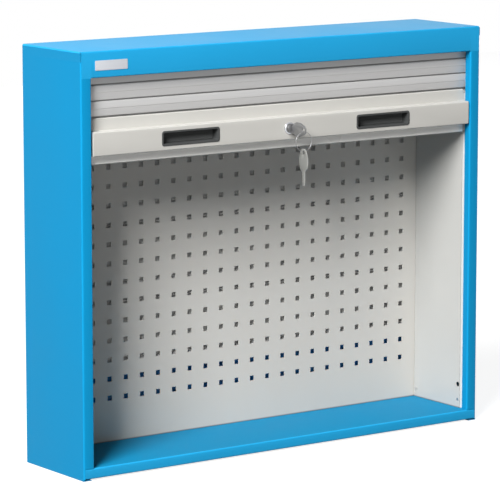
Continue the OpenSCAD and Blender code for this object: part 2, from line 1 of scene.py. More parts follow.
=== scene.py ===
import json
import math
import bmesh
import bpy
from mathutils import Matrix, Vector


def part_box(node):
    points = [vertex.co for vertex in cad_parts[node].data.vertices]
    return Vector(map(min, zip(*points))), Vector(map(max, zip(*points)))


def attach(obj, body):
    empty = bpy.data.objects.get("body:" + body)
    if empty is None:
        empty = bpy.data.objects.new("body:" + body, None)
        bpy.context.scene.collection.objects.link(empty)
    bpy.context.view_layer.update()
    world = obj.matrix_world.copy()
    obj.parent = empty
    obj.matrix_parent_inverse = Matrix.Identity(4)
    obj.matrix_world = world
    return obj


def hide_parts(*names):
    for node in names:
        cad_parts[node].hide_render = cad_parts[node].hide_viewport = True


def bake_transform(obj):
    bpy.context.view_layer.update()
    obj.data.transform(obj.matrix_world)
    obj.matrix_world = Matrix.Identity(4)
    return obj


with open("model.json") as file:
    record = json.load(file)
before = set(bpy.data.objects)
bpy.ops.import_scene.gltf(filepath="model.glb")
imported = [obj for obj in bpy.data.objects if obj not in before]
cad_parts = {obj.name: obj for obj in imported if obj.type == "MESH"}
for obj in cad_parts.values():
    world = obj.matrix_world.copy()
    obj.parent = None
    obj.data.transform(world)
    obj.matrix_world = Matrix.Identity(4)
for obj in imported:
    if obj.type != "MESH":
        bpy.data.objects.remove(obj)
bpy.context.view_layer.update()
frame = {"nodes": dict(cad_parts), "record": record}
nodes = frame["nodes"]
mm = 0.001
hair = 0.02  # kept between solids of one piece, so that they stay separate shells
smoothAngle = 32  # edges sharper than this stay crisp
softAngle = 40  # corners sharper than this are rounded by softenEdges
boreSteps = 32
sides = {-1: "left", 1: "right"}

# Drawing coordinates: x centred, y from the casing's front plane, z from the feet, in millimetres
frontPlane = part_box("left_side_wall")[0].y


def toFrame(x, y, z):
    return Vector((x * mm, y * mm + frontPlane, z * mm))


def roundedPath(points, radii, closed=False, steps=5):
    # a path through the points, with its corners rounded to the radii
    count = len(points)
    if not isinstance(radii, (list, tuple)):
        radii = [radii] * count
    out = []
    for i in range(count):
        p = Vector(points[i])
        if not closed and i in (0, count - 1):
            out.append(p)
            continue
        a = Vector(points[i - 1])
        b = Vector(points[(i + 1) % count])
        d1 = (a - p).normalized()
        d2 = (b - p).normalized()
        r = radii[i]
        corner = d1.angle(d2)
        if r <= 0 or corner > math.pi - 1e-4:
            out.append(p)
            continue
        cut = r / math.tan(corner / 2)
        start = p + d1 * cut
        end = p + d2 * cut
        middle = p + (d1 + d2).normalized() * (r / math.sin(corner / 2))
        turn = math.pi - corner
        u = (start - middle).normalized()
        side = (end - middle) - u * (end - middle).dot(u)
        v = side.normalized()
        for k in range(steps + 1):
            t = turn * k / steps
            out.append(middle + (u * math.cos(t) + v * math.sin(t)) * r)
    return out


def sheetOutline(points, bend, thickness, steps=5):
    # the closed outline of a bent sheet whose middle follows the points
    path = roundedPath(points, bend, steps=steps)
    left = []
    right = []
    for i, p in enumerate(path):
        before = path[max(i - 1, 0)]
        after = path[min(i + 1, len(path) - 1)]
        d = (after - before).normalized()
        n = Vector((-d.y, d.x))
        left.append(p + n * thickness / 2)
        right.append(p - n * thickness / 2)
    return left + right[::-1]


def roundedRect(x, z, w, h, r, steps=6):
    left, right, foot, top = x - w / 2, x + w / 2, z - h / 2, z + h / 2
    corners = [(left, foot), (right, foot), (right, top), (left, top)]
    return roundedPath(corners, r, closed=True, steps=steps)


def sweep(bm, outline, axis, low, high, coat=0):
    def at(p, s):
        if axis == "x":
            return toFrame(s, p[0], p[1])
        if axis == "y":
            return toFrame(p[0], s, p[1])
        return toFrame(p[0], p[1], s)

    ends = []
    for s in (low, high):
        ends.append([bm.verts.new(at(p, s)) for p in outline])
    n = len(outline)
    made = [bm.faces.new(ends[0]), bm.faces.new(ends[1][::-1])]
    for i in range(n):
        j = (i + 1) % n
        made.append(bm.faces.new((ends[0][i], ends[0][j], ends[1][j], ends[1][i])))
    for face in made:
        face.material_index = coat


def block(bm, low, high, bevel=0.0, steps=2):
    made = bmesh.ops.create_cube(bm, size=1.0)["verts"]
    a = toFrame(*low)
    b = toFrame(*high)
    for v in made:
        v.co = Vector([a[k] + (v.co[k] + 0.5) * (b[k] - a[k]) for k in range(3)])
    if bevel:
        edges = list({e for v in made for e in v.link_edges})
        bmesh.ops.bevel(bm, geom=edges, offset=bevel * mm, segments=steps, profile=0.5,
                        affect="EDGES", clamp_overlap=True)


def bridge(bm, rings):
    # skins the rings one after another and closes the first and the last
    count = len(rings[0])
    for one, other in zip(rings, rings[1:]):
        for i in range(count):
            j = (i + 1) % count
            bm.faces.new((one[i], one[j], other[j], other[i]))
    bm.faces.new(rings[0])
    bm.faces.new(rings[-1][::-1])


def lathe(bm, profile, centre, axis="y", steps=48):
    # the profile holds places along the axis and radii
    x, y, z = centre
    rings = []
    for along, radius in profile:
        ring = []
        for k in range(steps):
            t = 2 * math.pi * k / steps
            u = radius * math.cos(t)
            w = radius * math.sin(t)
            place = (x + u, y + along, z + w) if axis == "y" else (x + along, y + u, z + w)
            ring.append(bm.verts.new(toFrame(*place)))
        rings.append(ring)
    bridge(bm, rings)


def makePiece(name, build, looks, body, replaced=(), smooth=smoothAngle):
    bm = bmesh.new()
    build(bm)
    bmesh.ops.remove_doubles(bm, verts=bm.verts, dist=1e-7)
    bmesh.ops.recalc_face_normals(bm, faces=bm.faces)
    mesh = bpy.data.meshes.new(name)
    bm.to_mesh(mesh)
    bm.free()
    shadeSmooth(mesh, smooth)
    piece = bpy.data.objects.new(name, mesh)
    bpy.context.scene.collection.objects.link(piece)
    for look in looks:
        mesh.materials.append(coats[look])
    if body:
        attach(piece, body)
        if replaced:
            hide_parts(*replaced)
    return piece


def shadeSmooth(mesh, angle):
    for face in mesh.polygons:
        face.use_smooth = True
    mesh.set_sharp_from_angle(angle=math.radians(angle))


def bakeModifiers(piece):
    shown = bpy.context.evaluated_depsgraph_get()
    mesh = bpy.data.meshes.new_from_object(piece.evaluated_get(shown))
    piece.modifiers.clear()
    piece.data = mesh
    shadeSmooth(mesh, smoothAngle)


def carve(piece, build):
    cutter = makePiece(piece.name + "Cutter", build, [], None)
    cutter.data.materials.append(piece.data.materials[0])
    cut = piece.modifiers.new("carve", "BOOLEAN")
    cut.operation = "DIFFERENCE"
    cut.solver = "EXACT"
    cut.object = cutter
    bakeModifiers(piece)
    bpy.data.objects.remove(cutter)


def softenEdges(piece, width, steps=2):
    soft = piece.modifiers.new("soft", "BEVEL")
    soft.width = width * mm
    soft.segments = steps
    soft.limit_method = "ANGLE"
    soft.angle_limit = math.radians(softAngle)
    bakeModifiers(piece)


# painted and moulded surfaces
paints = {
    "casingBlue": {"colour": (0.0035, 0.25, 0.50), "roughness": 0.4, "specular": 0.1},
    # a darker copy of casingBlue for the side walls' flat faces: painted shade
    "sideBluePaintedShade": {"colour": (0.003, 0.205, 0.41), "roughness": 0.4, "specular": 0.1},
    # a lighter copy of casingBlue for the fascia, the roof and the tray's lip: painted light
    "casingBluePaintedLight": {"colour": (0.016, 0.317, 0.607), "roughness": 0.4, "specular": 0.07},
    # a darker copy of casingBlue for the tray's upward faces: painted shade
    "trayBluePaintedShade": {"colour": (0.006, 0.21, 0.40), "roughness": 0.42, "specular": 0.02},
    # the rear wall's blue, lighter than the casing's: painted light on its inside
    "rearBluePaintedLight": {"colour": (0.09, 0.42, 0.95), "roughness": 0.4, "specular": 0.1},
    "liningGrey": {"colour": (0.43, 0.425, 0.405), "roughness": 0.2, "peel": 0.05},
    "sheetGrey": {"colour": (0.59, 0.572, 0.535), "roughness": 0.35, "peel": 0.08, "specular": 0.3},
    "railGrey": {"colour": (0.49, 0.48, 0.45), "roughness": 0.4},
    # lighter and glossier than railGrey: painted light for the strip in the grip box's shade
    "stripGreyPaintedLight": {"colour": (0.86, 0.85, 0.81), "roughness": 0.3, "specular": 1.0},
    # much lighter than slatSilver: painted light, so that the stored slats seen through the back sheet's
    # holes look lit
    "slatInnerPaintedLight": {"colour": (0.85, 0.85, 0.84), "roughness": 0.6, "peel": 0.05},
    # the tail slats take the same painted light as the stored slats, and painted shade next to the back
    # sheet
    "tailPaintedLightAndShade": {"colour": (0.85, 0.85, 0.84), "roughness": 0.6, "peel": 0.05},
    "guideWhite": {"colour": (0.74, 0.75, 0.75), "roughness": 0.45},
    "gripBlack": {"colour": (0.052, 0.054, 0.054), "roughness": 0.68, "specular": 0.22,
                  "spread": 0.08, "peel": 0.4},
    # lighter than gripBlack: painted light on the shaded back wall of a grip pocket
    "pocketBackPaintedLight": {"colour": (0.105, 0.109, 0.109), "roughness": 0.8, "specular": 0.08,
                   "spread": 0.08, "peel": 0.4},
    # darker than gripBlack: painted shade on a grip pocket's lit floor and other inner walls
    "pocketInsidePaintedShade": {"colour": (0.045, 0.047, 0.047), "roughness": 0.85, "specular": 0.05,
                    "spread": 0.08, "peel": 0.4},
}
# metals, with the grain's scale along x, y and z
metals = {
    "slatSilver": {"colour": (0.475, 0.47, 0.465), "roughness": 0.46, "metallic": 0.25,
                   "stretch": (3, 500, 900)},
    "slatShadow": {"colour": (0.23, 0.23, 0.225), "roughness": 0.6, "metallic": 0.2,
                   "stretch": (3, 500, 900)},
    "zincSteel": {"colour": (0.55, 0.55, 0.56), "roughness": 0.38, "metallic": 0.9,
                  "stretch": (300, 300, 300)},
    "chrome": {"colour": (0.50, 0.51, 0.53), "roughness": 0.24, "metallic": 1.0,
               "stretch": (400, 400, 400), "grain": 0.03, "spread": 0.01},
    "lockSteel": {"colour": (0.20, 0.20, 0.205), "roughness": 0.34, "metallic": 0.9,
                  "stretch": (400, 400, 400), "grain": 0.05},
    # a darker copy of the key steel for the key in the lock: painted shade
    "keySteelPaintedShade": {"colour": (0.25, 0.25, 0.25), "roughness": 0.42, "metallic": 0.75,
                 "stretch": (900, 60, 900)},
    # a lighter copy of the same steel for the hanging spare key: painted light
    "spareSteelPaintedLight": {"colour": (0.37, 0.372, 0.35), "roughness": 0.42, "metallic": 0.6,
                   "stretch": (900, 900, 60)},
    "ringWire": {"colour": (0.28, 0.28, 0.285), "roughness": 0.45, "metallic": 0.95,
                 "stretch": (500, 500, 500), "grain": 0.04},
    "plateSatin": {"colour": (0.52, 0.54, 0.575), "roughness": 0.4, "metallic": 0.6,
                   "stretch": (5, 600, 900)},
}
texture = {"cloud": 7, "peel": 700, "peelDepth": 0.00004, "paintUneven": 0.03,
           "grainDepth": 0.00003, "metalUneven": 0.05, "from": 0.3, "to": 0.7}
unshaded = (1, 1, 1)
# painted light and shade along one axis: coat, axis, start and end in millimetres, and what its colour is
# multiplied by before and after them
shades = [
    ("rearBluePaintedLight", "Y", 204.2, 204.6, unshaded, (0.04, 0.6, 0.53)),  # painted light: the inside is lighter, so that the rear wall seen through the back sheet's holes looks lit; the outside is darkened to the casing blue
    ("liningGrey", "Z", 23.5, 26, (0.3, 0.3, 0.3), unshaded),  # painted shade: a dark line where the lining and the back sheet meet the tray
    ("sheetGrey", "Z", 23.5, 26, (0.3, 0.3, 0.3), unshaded),
    ("sheetGrey", "Z", 30, 260, (1.0, 0.96, 0.925), unshaded),  # painted light: warmer towards the foot, against the blue light that the tray bounces there
    ("tailPaintedLightAndShade", "Y", 184.5, 187.0, (0.5, 0.5, 0.5), unshaded),  # painted shade on the hooks and lips next to the back sheet
]


def newMaterial(name, colour, roughness, metallic=0.0, specular=0.5):
    material = bpy.data.materials.new(name)
    material.use_nodes = True
    tree = material.node_tree
    shader = tree.nodes["Principled BSDF"]
    shader.inputs["Base Color"].default_value = (*colour, 1)
    shader.inputs["Roughness"].default_value = roughness
    shader.inputs["Metallic"].default_value = metallic
    shader.inputs["Specular IOR Level"].default_value = specular
    return material, tree, shader


def link(tree, a, out, b, into):
    tree.links.new(a.outputs[out], b.inputs[into])


def noiseNode(tree, scale, detail, stretch=(1, 1, 1)):
    where = tree.nodes.new("ShaderNodeTexCoord")
    mapping = tree.nodes.new("ShaderNodeMapping")
    mapping.inputs["Scale"].default_value = stretch
    noise = tree.nodes.new("ShaderNodeTexNoise")
    noise.inputs["Scale"].default_value = scale
    noise.inputs["Detail"].default_value = detail
    link(tree, where, "Object", mapping, "Vector")
    link(tree, mapping, "Vector", noise, "Vector")
    return noise


def tint(tree, shader, noise, colour, spread):
    ramp = tree.nodes.new("ShaderNodeValToRGB")
    darker, lighter = ramp.color_ramp.elements
    darker.position = texture["from"]
    lighter.position = texture["to"]
    darker.color = (*[c * (1 - spread) for c in colour], 1)
    lighter.color = (*[min(c * (1 + spread), 1) for c in colour], 1)
    link(tree, noise, "Fac", ramp, "Fac")
    link(tree, ramp, "Color", shader, "Base Color")


def roughen(tree, shader, noise, roughness, uneven):
    spread = tree.nodes.new("ShaderNodeMapRange")
    spread.inputs["From Min"].default_value = texture["from"]
    spread.inputs["From Max"].default_value = texture["to"]
    spread.inputs["To Min"].default_value = roughness - uneven
    spread.inputs["To Max"].default_value = roughness + uneven
    link(tree, noise, "Fac", spread, "Value")
    link(tree, spread, "Result", shader, "Roughness")


def emboss(tree, shader, noise, strength, distance):
    bump = tree.nodes.new("ShaderNodeBump")
    bump.inputs["Strength"].default_value = strength
    bump.inputs["Distance"].default_value = distance
    link(tree, noise, "Fac", bump, "Height")
    link(tree, bump, "Normal", shader, "Normal")


def paint(name, colour, roughness, spread=0.015, peel=0.12, specular=0.5):
    # a soft cloud of tone, and the fine orange peel of a sprayed coat
    material, tree, shader = newMaterial(name, colour, roughness, 0.0, specular)
    cloud = noiseNode(tree, texture["cloud"], 2)
    tint(tree, shader, cloud, colour, spread)
    roughen(tree, shader, cloud, roughness, texture["paintUneven"])
    emboss(tree, shader, noiseNode(tree, texture["peel"], 2), peel, texture["peelDepth"])
    return material


def grainedMetal(name, colour, roughness, metallic, stretch, grain=0.15, spread=0.03):
    material, tree, shader = newMaterial(name, colour, roughness, metallic)
    lines = noiseNode(tree, 1, 3, stretch)
    tint(tree, shader, lines, colour, spread)
    roughen(tree, shader, lines, roughness, texture["metalUneven"])
    emboss(tree, shader, lines, grain, texture["grainDepth"])
    return material


def shadeAlong(material, axis, start, end, before, after):
    tree = material.node_tree
    shader = tree.nodes["Principled BSDF"]
    colour = shader.inputs["Base Color"].links[0].from_socket
    place = tree.nodes.new("ShaderNodeTexCoord")
    split = tree.nodes.new("ShaderNodeSeparateXYZ")
    share = tree.nodes.new("ShaderNodeMapRange")
    at = "XYZ".index(axis)
    share.inputs["From Min"].default_value = toFrame(start, start, start)[at]
    share.inputs["From Max"].default_value = toFrame(end, end, end)[at]
    factor = tree.nodes.new("ShaderNodeMix")
    factor.data_type = "VECTOR"
    factor.inputs[4].default_value = before
    factor.inputs[5].default_value = after
    scaled = tree.nodes.new("ShaderNodeVectorMath")
    scaled.operation = "MULTIPLY"
    link(tree, place, "Object", split, "Vector")
    link(tree, split, axis, share, "Value")
    link(tree, share, "Result", factor, 0)
    tree.links.new(colour, scaled.inputs[0])
    tree.links.new(factor.outputs[1], scaled.inputs[1])
    link(tree, scaled, "Vector", shader, "Base Color")


coats = {name: paint(name, **look) for name, look in paints.items()}
coats.update({name: grainedMetal(name, **look) for name, look in metals.items()})
for look, *shade in shades:
    shadeAlong(coats[look], *shade)

wearsSlot = {
    "casing_blue": "casingBlue", "lining_grey": "liningGrey", "rail_grey": "railGrey",
    "slat_silver": "slatSilver", "guide_white": "guideWhite", "steel": "zincSteel",
    "chrome": "chrome", "key_steel": "keySteelPaintedShade", "plate": "plateSatin", "grip_black": "gripBlack",
}
wearsNode = {"perforated_back_panel": "sheetGrey", "tail_slats": "tailPaintedLightAndShade", "rear_wall": "rearBluePaintedLight"}
# the stored slats behind the back sheet take the lighter copy of the slat colour: painted light
for number in range(5, 11):
    wearsNode[f"slat_{number:02d}"] = "slatInnerPaintedLight"
for part in frame["record"]["subparts"]:
    look = wearsNode.get(part["node"], wearsSlot[part["material_slot"]])
    for holder in nodes[part["node"]].material_slots:
        holder.material = coats[look]
print("finishes ready")

casing = {"halfWidth": 477.5, "height": 812, "depth": 205, "sheet": 1.2, "bend": 3.0,
          "flange": 23.5, "returnDepth": 16, "floor": 23, "lip": 3, "lipReturn": 14, "fascia": 762,
          "slitTop": 793, "slit": 0.9, "crownFront": 0.4, "fasciaReturn": 12, "foot": 18, "footFront": 0.2,
          "returnBend": 1.6, "rearBend": 1.0, "cornerFront": 1.5}
facing = 0.99  # how square to its axis a face must be to take a darker copy of its blue, which is painted shade


def sideWall(sign, side):
    c = casing
    t = c["sheet"]
    h = c["halfWidth"]
    mid = h - t / 2
    bend = c["bend"] - t / 2

    def build(bm):
        def plan(points, low, high):
            outline = [(sign * p[0], p[1]) for p in sheetOutline(points, bend, t)]
            sweep(bm, outline, "z", low, high - hair)
        rear = (mid, c["depth"])
        front = (mid, t / 2)
        flangeEdge = h - c["flange"] + t / 2
        plan([rear, front, (h - c["bend"], t / 2)], c["lip"], c["floor"])
        plan([rear, front, (h - c["bend"], t / 2)], c["fascia"], c["slitTop"])
        plan([rear, front, (flangeEdge, t / 2), (flangeEdge, c["returnDepth"])], c["floor"], c["fascia"])
        plan([rear, (mid, c["crownFront"])], c["slitTop"], c["height"] - c["bend"])
        plan([rear, (mid, t)], 0, c["lip"])
        low, high = sorted((sign * (h - c["foot"]), sign * (h - t)))
        block(bm, (low, t + c["footFront"], 0), (high, c["depth"], t))
        bm.normal_update()
        # faces square to x take the darker copy of the blue: painted shade on the side walls
        for face in bm.faces:
            face.material_index = int(abs(face.normal.x) > facing)
    makePiece(f"sideWall{side.title()}", build, ["casingBlue", "sideBluePaintedShade"], "cabinet",
              [f"{side}_side_wall"])


for sign, side in sides.items():
    sideWall(sign, side)


def topAndFascia(bm):
    c = casing
    t = c["sheet"]
    h = c["halfWidth"]
    r = c["bend"] - t / 2
    x = h - t - c["slit"]
    inner = h - c["flange"]
    top = c["height"] - t / 2
    z = c["fascia"] + t / 2
    face = [(c["fasciaReturn"], z), (t / 2, z), (t / 2, top), (c["bend"], top)]
    sweep(bm, sheetOutline(face, [0, c["returnBend"], r, 0], t), "x", -inner, inner)
    edge = [(t / 2, c["fascia"]), (t / 2, top), (c["bend"], top)]
    for sign in sides:
        sweep(bm, sheetOutline(edge, r, t), "x", *sorted((sign * (inner + hair), sign * x)))
    eaves = c["height"] - c["bend"]
    roof = [(-h + t / 2, eaves), (-h + t / 2, top), (h - t / 2, top), (h - t / 2, eaves)]
    sweep(bm, sheetOutline(roof, r, t), "y", c["bend"] + hair, c["depth"])


# the top panel takes the lighter copy of the casing blue: painted light
makePiece("topPanel", topAndFascia, ["casingBluePaintedLight"], "cabinet", ["top_panel"])


def floorTray(bm):
    c = casing
    t = c["sheet"]
    x = c["halfWidth"] - c["bend"]
    lip = c["lip"] + t / 2
    level = c["floor"] - t / 2
    rear = c["depth"] - 1.5 * t  # the rear upstand lies inside the rear wall
    tray = [(c["lipReturn"], lip), (t / 2, lip), (t / 2, level), (rear, level), (rear, c["lip"])]
    bends = [0, c["returnBend"], c["bend"] - t / 2, c["rearBend"], 0]
    sweep(bm, sheetOutline(tray, bends, t), "x", -x, x)
    for sign in sides:
        low, high = sorted((sign * x, sign * (c["halfWidth"] - t)))
        block(bm, (low, c["bend"] + c["cornerFront"], c["floor"] - t), (high, c["depth"] - t, c["floor"]))
    bm.normal_update()
    # upward faces take the darker copy of the blue, painted shade, and the others the lighter copy, painted
    # light
    for face in bm.faces:
        face.material_index = int(abs(face.normal.z) > facing)


makePiece("floorTray", floorTray, ["casingBluePaintedLight", "trayBluePaintedShade"], "cabinet", ["bottom_panel"])

badge = {"from": 31.5, "width": 72, "height": 18.5, "corner": 1.6, "thick": 0.8, "drop": 2, "soft": 0.3}


def plateShape(bm):
    b = badge
    x = -casing["halfWidth"] + b["from"]
    z = casing["fascia"] + (casing["height"] - casing["fascia"] - b["height"]) / 2 - b["drop"]
    corners = [(x, z), (x + b["width"], z), (x + b["width"], z + b["height"]), (x, z + b["height"])]
    sweep(bm, roundedPath(corners, b["corner"], closed=True), "y", -b["thick"], 0)


plate = makePiece("namePlateBlank", plateShape, ["plateSatin"], "cabinet", ["name_plate"])
softenEdges(plate, badge["soft"])
print("casing built")

lining = {"x": 455, "tab": 474, "front": 25.5, "rear": 176.8, "bottom": 23.2, "top": 770, "bend": 3.4}
strike = {"y": 31.5, "levels": [638, 65], "offset": 7, "diameter": 10, "reach": 20}


def liningPanel(sign, side):
    t = casing["sheet"]
    x = lining["x"] + t / 2
    y = lining["rear"] - t / 2

    def build(bm):
        path = [(x, lining["front"]), (x, y), (lining["tab"], y)]
        outline = [(sign * p[0], p[1]) for p in sheetOutline(path, lining["bend"] - t / 2, t)]
        sweep(bm, outline, "z", lining["bottom"], lining["top"])

    def holes(bm):
        radius = strike["diameter"] / 2
        for level in strike["levels"]:
            lathe(bm, [(-strike["reach"], radius), (strike["reach"], radius)],
                  (sign * lining["x"], strike["y"], level + sign * strike["offset"]), "x", boreSteps)
    piece = makePiece(f"lining{side.title()}", build, ["liningGrey"], "cabinet",
                      [f"{side}_lining_panel"])
    carve(piece, holes)


for sign, side in sides.items():
    liningPanel(sign, side)
print("interior built")

slat = {"pitch": 30.2, "front": 17, "hinge": 686.5, "half": 465, "groove": 3.2, "play": 0.2, "skin": 1.2,
        "ridge": 0.52, "ridgeFoot": 0.4, "ridgeTop": 0.3, "lowSet": 1.9, "step": 0.5, "highSet": 1.0,
        "lip": 5.4, "bends": [0, 0.8, 0.4, 0.4, 1.0, 0], "knuckle": 5.9, "smooth": 40}
hook = {"path": [(1.6, 1.0), (-0.4, 1.9), (-1.6, 0), (-0.9, -1.4)], "bends": [0, 1.0, 1.2, 0], "sheet": 0.6,
        "bead": 1.1, "neck": 0.4, "neckFoot": 5, "neckTop": 0.9}
drawn = {"rows": 20, "packed": 31.0, "top": 777.1, "travel": 573, "depth": 21, "halvings": 60}


def slatOutline(base):
    # from the lower lip's rear edge, up the lower band, over the step and the upper band, to the top lip
    s = slat
    y = s["front"] + s["skin"] / 2
    low = base + s["groove"] / 2 + s["play"]
    high = base + s["pitch"] - s["groove"] / 2 - s["play"]
    ridge = base + s["pitch"] * s["ridge"]
    face = [(y + s["lip"], low), (y + s["lowSet"], low), (y + s["step"], ridge - s["ridgeFoot"]),
            (y, ridge + s["ridgeTop"]), (y + s["highSet"], high), (y + s["lip"], high)]
    return sheetOutline(face, s["bends"], s["skin"], steps=4)


def addSlat(bm, base):
    y = slat["front"] + slat["knuckle"]
    top = base + slat["pitch"]
    half = slat["half"]
    claw = sheetOutline([(y + a, base + b) for a, b in hook["path"]], hook["bends"], hook["sheet"], steps=3)
    bead = []
    for k in range(16):
        t = math.pi * k / 8
        bead.append((y + hook["bead"] * math.cos(t), top + hook["bead"] * math.sin(t)))
    n = hook["neck"]
    foot = top - hook["neckFoot"]
    head = top - hook["neckTop"]
    neck = [(y - n, foot), (y + n, foot), (y + n, head), (y - n, head)]
    sweep(bm, slatOutline(base), "x", -half, half)
    for outline in (claw, bead, neck):
        sweep(bm, outline, "x", -half, half, coat=1)


for number in (1, 2, 3):
    base = slat["hinge"] + (number - 1) * slat["pitch"]
    makePiece(f"slat{number}", lambda bm: addSlat(bm, base), ["slatSilver", "slatShadow"], "shutter",
              [f"slat_0{number}"], smooth=slat["smooth"])


def packedLevel(level):
    # where a point of the drawn curtain waits behind the fascia, for the blend between the two bodies
    d = drawn
    low = d["top"]
    high = d["top"] + d["packed"]
    for _ in range(d["halvings"]):
        mid = (low + high) / 2
        t = min(max((d["top"] + d["packed"] - mid) / d["packed"], 0), 1)
        lands = mid - d["travel"] * t * t * (3 - 2 * t)
        if lands < level:
            low = mid
        else:
            high = mid
    return (low + high) / 2


def reserve(bm):
    bottom = drawn["top"] - drawn["travel"]
    ceiling = bottom + drawn["rows"] * slat["pitch"]
    for k in range(drawn["rows"]):
        addSlat(bm, bottom + k * slat["pitch"])
    for v in bm.verts:
        v.co.z = packedLevel(min(max(v.co.z / mm, bottom), ceiling)) * mm


curtain = makePiece("curtainReserve", reserve, ["slatSilver", "slatShadow"], None,
                    smooth=slat["smooth"])
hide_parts("slat_04")
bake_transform(curtain)
print("curtain built")

rail = {"half": 450, "sheet": 1.5, "foot": 597, "grip": 615, "band": 661, "hinge": 686.5,
        "set": 17, "rear": 41, "lock": 638, "play": 1.9, "seatDrop": 3, "seatSet": 4, "flap": 12,
        "bends": [0, 1, 1, 1.2, 1.6, 1.0, 2.4, 1.5, 1.0, 1.6, 1.2, 0]}
cap = {"top": 4.9, "bends": [2.2, 1, 1, 0.5, 0, 3.1, 2.2, 0], "hole": 4.5,
       "tongueReach": 465, "tongueRoot": 0.5, "tongueFront": 0.3, "tongueRear": 7.7,
       "tongueFoot": 5, "tongueTop": 9.9, "tongueSoft": 0.8}
# the rings of a cup's skin: y, and what comes off its width and height and off its corners
cup = {"span": 462, "width": 133, "height": 29, "corner": 5, "soft": 0.5, "rimDepth": 0.4,
       "rings": [(18, 4, 1), (0, 4, 1), (0, 0, 0), (-0.8, 0, 0), (-0.8, 7.6, 1.6), (16.2, 10, 2)],
       "cutOff": 3.6, "cutCorner": 4}
lock = {"flange": 23, "flangeThick": 3, "barrel": 18.5, "proud": 11, "back": 22, "railHole": 9.45,
        "plug": 13, "play": 0.15, "tail": 3.5, "tailLength": 4,
        "slotHalf": 1.35, "slotHeight": 4.35, "slotDepth": 18}
through = (-5, 8)  # the cutters pass the rail's face from here to here


def railFace():
    r = rail
    t = r["sheet"] / 2
    top = r["hinge"] - r["play"]
    seat = top - r["seatDrop"] - t
    rear = r["rear"] - casing["sheet"] - t
    face = r["set"] + t
    return [(rear, seat - r["flap"]), (rear, seat), (r["set"] + r["seatSet"], seat),
            (r["set"] + r["seatSet"], top - t), (face, top - t), (face, r["band"] - t),
            (t, r["band"] - t), (t, r["grip"] + t), (face, r["grip"] + t),
            (face, r["foot"] + t), (rear, r["foot"] + t), (rear, r["foot"] + r["flap"])]


def railBody(bm):
    end = rail["half"] - rail["sheet"]
    sweep(bm, sheetOutline(railFace(), rail["bends"], rail["sheet"]), "x", -end, end)
    bm.normal_update()
    below = toFrame(0, 0, rail["grip"]).z
    for face in bm.faces:  # the strip under the grip box has a lighter, glossier copy of the rail grey: painted light where the box shades it
        face.material_index = int(abs(face.normal.y) > 0.9 and face.calc_center_median().z < below)


def railCuts(bm):
    for sign in sides:
        outline = roundedRect(sign * cup["span"] / 2, rail["lock"], cup["width"] - cup["cutOff"],
                              cup["height"] - cup["cutOff"], cup["cutCorner"])
        sweep(bm, outline, "y", *through)
    lathe(bm, [(at, lock["railHole"]) for at in through], (0, 0, rail["lock"]))


endRail = makePiece("endRail", railBody, ["railGrey", "stripGreyPaintedLight"], "shutter", ["end_rail"])
carve(endRail, railCuts)


def railCap(sign, side):
    r = rail

    def build(bm):
        top = r["hinge"] - cap["top"]
        edge = [(r["set"], r["foot"]), (r["rear"], r["foot"]), (r["rear"], top), (r["set"], top),
                (r["set"], r["band"]), (0, r["band"]), (0, r["grip"]), (r["set"], r["grip"])]
        outline = roundedPath(edge, cap["bends"], closed=True)
        sweep(bm, outline, "x", *sorted((sign * (r["half"] - r["sheet"]), sign * r["half"])))
        # the tongue that runs in the guide
        low, high = sorted((sign * (r["half"] - cap["tongueRoot"]), sign * cap["tongueReach"]))
        block(bm, (low, r["set"] + cap["tongueFront"], r["foot"] + cap["tongueFoot"]),
              (high, r["set"] + cap["tongueRear"], r["hinge"] - cap["tongueTop"]), cap["tongueSoft"])

    def hole(bm):
        centre = (sign * r["half"], strike["y"], r["lock"] + sign * strike["offset"])
        lathe(bm, [(-8, cap["hole"]), (6, cap["hole"])], centre, "x", boreSteps)
    piece = makePiece(f"railCap{side.title()}", build, ["railGrey"], "shutter",
                      [f"{side}_rail_cap"])
    carve(piece, hole)


for sign, side in sides.items():
    railCap(sign, side)


def gripCup(sign, side):
    # one closed skin: up the outside of the pocket, round the rim and down the inside
    c = cup

    def build(bm):
        made = []
        for y, less, tighter in c["rings"]:
            outline = roundedRect(sign * c["span"] / 2, rail["lock"], c["width"] - less, c["height"] - less,
                                  c["corner"] - tighter)
            made.append([bm.verts.new(toFrame(p[0], y, p[1])) for p in outline])
        bridge(bm, made)
    piece = makePiece(f"grip{side.title()}", build, ["gripBlack", "pocketBackPaintedLight", "pocketInsidePaintedShade"], "shutter",
                      [f"{side}_grip_cup"])
    softenEdges(piece, c["soft"])
    rim = toFrame(0, c["rimDepth"], 0).y
    # inside the pocket the back wall takes painted light and the other walls painted shade, so that the
    # pocket looks even
    for face in piece.data.polygons:
        if face.center.y > rim:
            face.material_index = 1 if face.normal.y < -0.97 else 2


for sign, side in sides.items():
    gripCup(sign, side)
print("end rail built")


def barrel(bm):
    k = lock
    f = k["flange"] / 2
    b = k["barrel"] / 2
    bore = k["plug"] / 2 + k["play"]
    nose = -k["proud"]
    flange = -k["flangeThick"]
    profile = [(nose, bore), (nose, b - 0.8), (nose + 0.25, b - 0.3), (nose + 0.8, b), (flange - 0.3, b),
               (flange, b + 0.4), (flange, f - 1.6), (flange + 0.35, f - 0.7), (flange + 1.2, f),
               (-hair, f), (-hair, b), (k["back"], b), (k["back"], bore)]
    lathe(bm, profile, (0, 0, rail["lock"]), steps=64)
    collar = toFrame(0, flange - 0.2, 0).y
    for face in bm.faces:  # the barrel in front of its flange is duller
        face.material_index = int(face.calc_center_median().y < collar)


def barrelBore(bm):
    bore = lock["plug"] / 2 + lock["play"]
    lathe(bm, [(-lock["proud"] - 2, bore), (lock["back"] + 2, bore)], (0, 0, rail["lock"]), steps=64)


